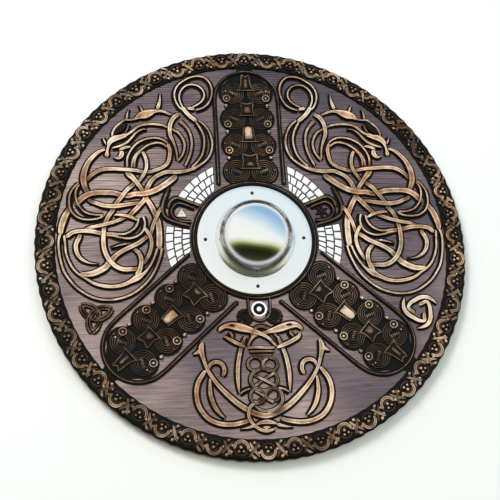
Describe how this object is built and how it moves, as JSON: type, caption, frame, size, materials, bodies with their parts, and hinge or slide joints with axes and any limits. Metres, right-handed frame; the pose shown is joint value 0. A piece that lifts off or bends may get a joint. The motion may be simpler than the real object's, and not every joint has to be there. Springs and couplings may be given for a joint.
{
  "type": "round wooden shield",
  "caption": "Round wooden shield carved with knotwork, beasts and three panels, with white tile inlays, a hollow steel boss and a grip behind it; lies face up.",
  "frame": {"origin": "middle of the underside, on the boss's axis, where the shield lies flat", "axes": "+Z out of the face along the boss's axis, +Y towards the upper panel"},
  "size_m": [0.75, 0.75, 0.0783],
  "materials": {
    "carved_wood": "stained purple-brown ground, black-brown cuts, worn copper-tan tops",
    "polished_steel": "polished dome on a satin flange",
    "dark_iron": "blackened, worn",
    "white_tile": "smooth white tile with dark joints",
    "grip_wood": "oiled, worn smooth in the middle"
  },
  "bodies": {
    "root": {"board": "carved_wood", "boss": "polished_steel", "boss_rivet_top": "dark_iron", "boss_rivet_left": "dark_iron", "boss_rivet_bottom": "dark_iron", "boss_rivet_right": "dark_iron", "tiles_left_upper": "white_tile", "tiles_left_lower": "white_tile", "tiles_right_upper": "white_tile", "tiles_right_lower": "white_tile", "grip": "grip_wood", "inlay_ring": "white_tile", "inlay_dot": "white_tile"}
  },
  "joints": []
}
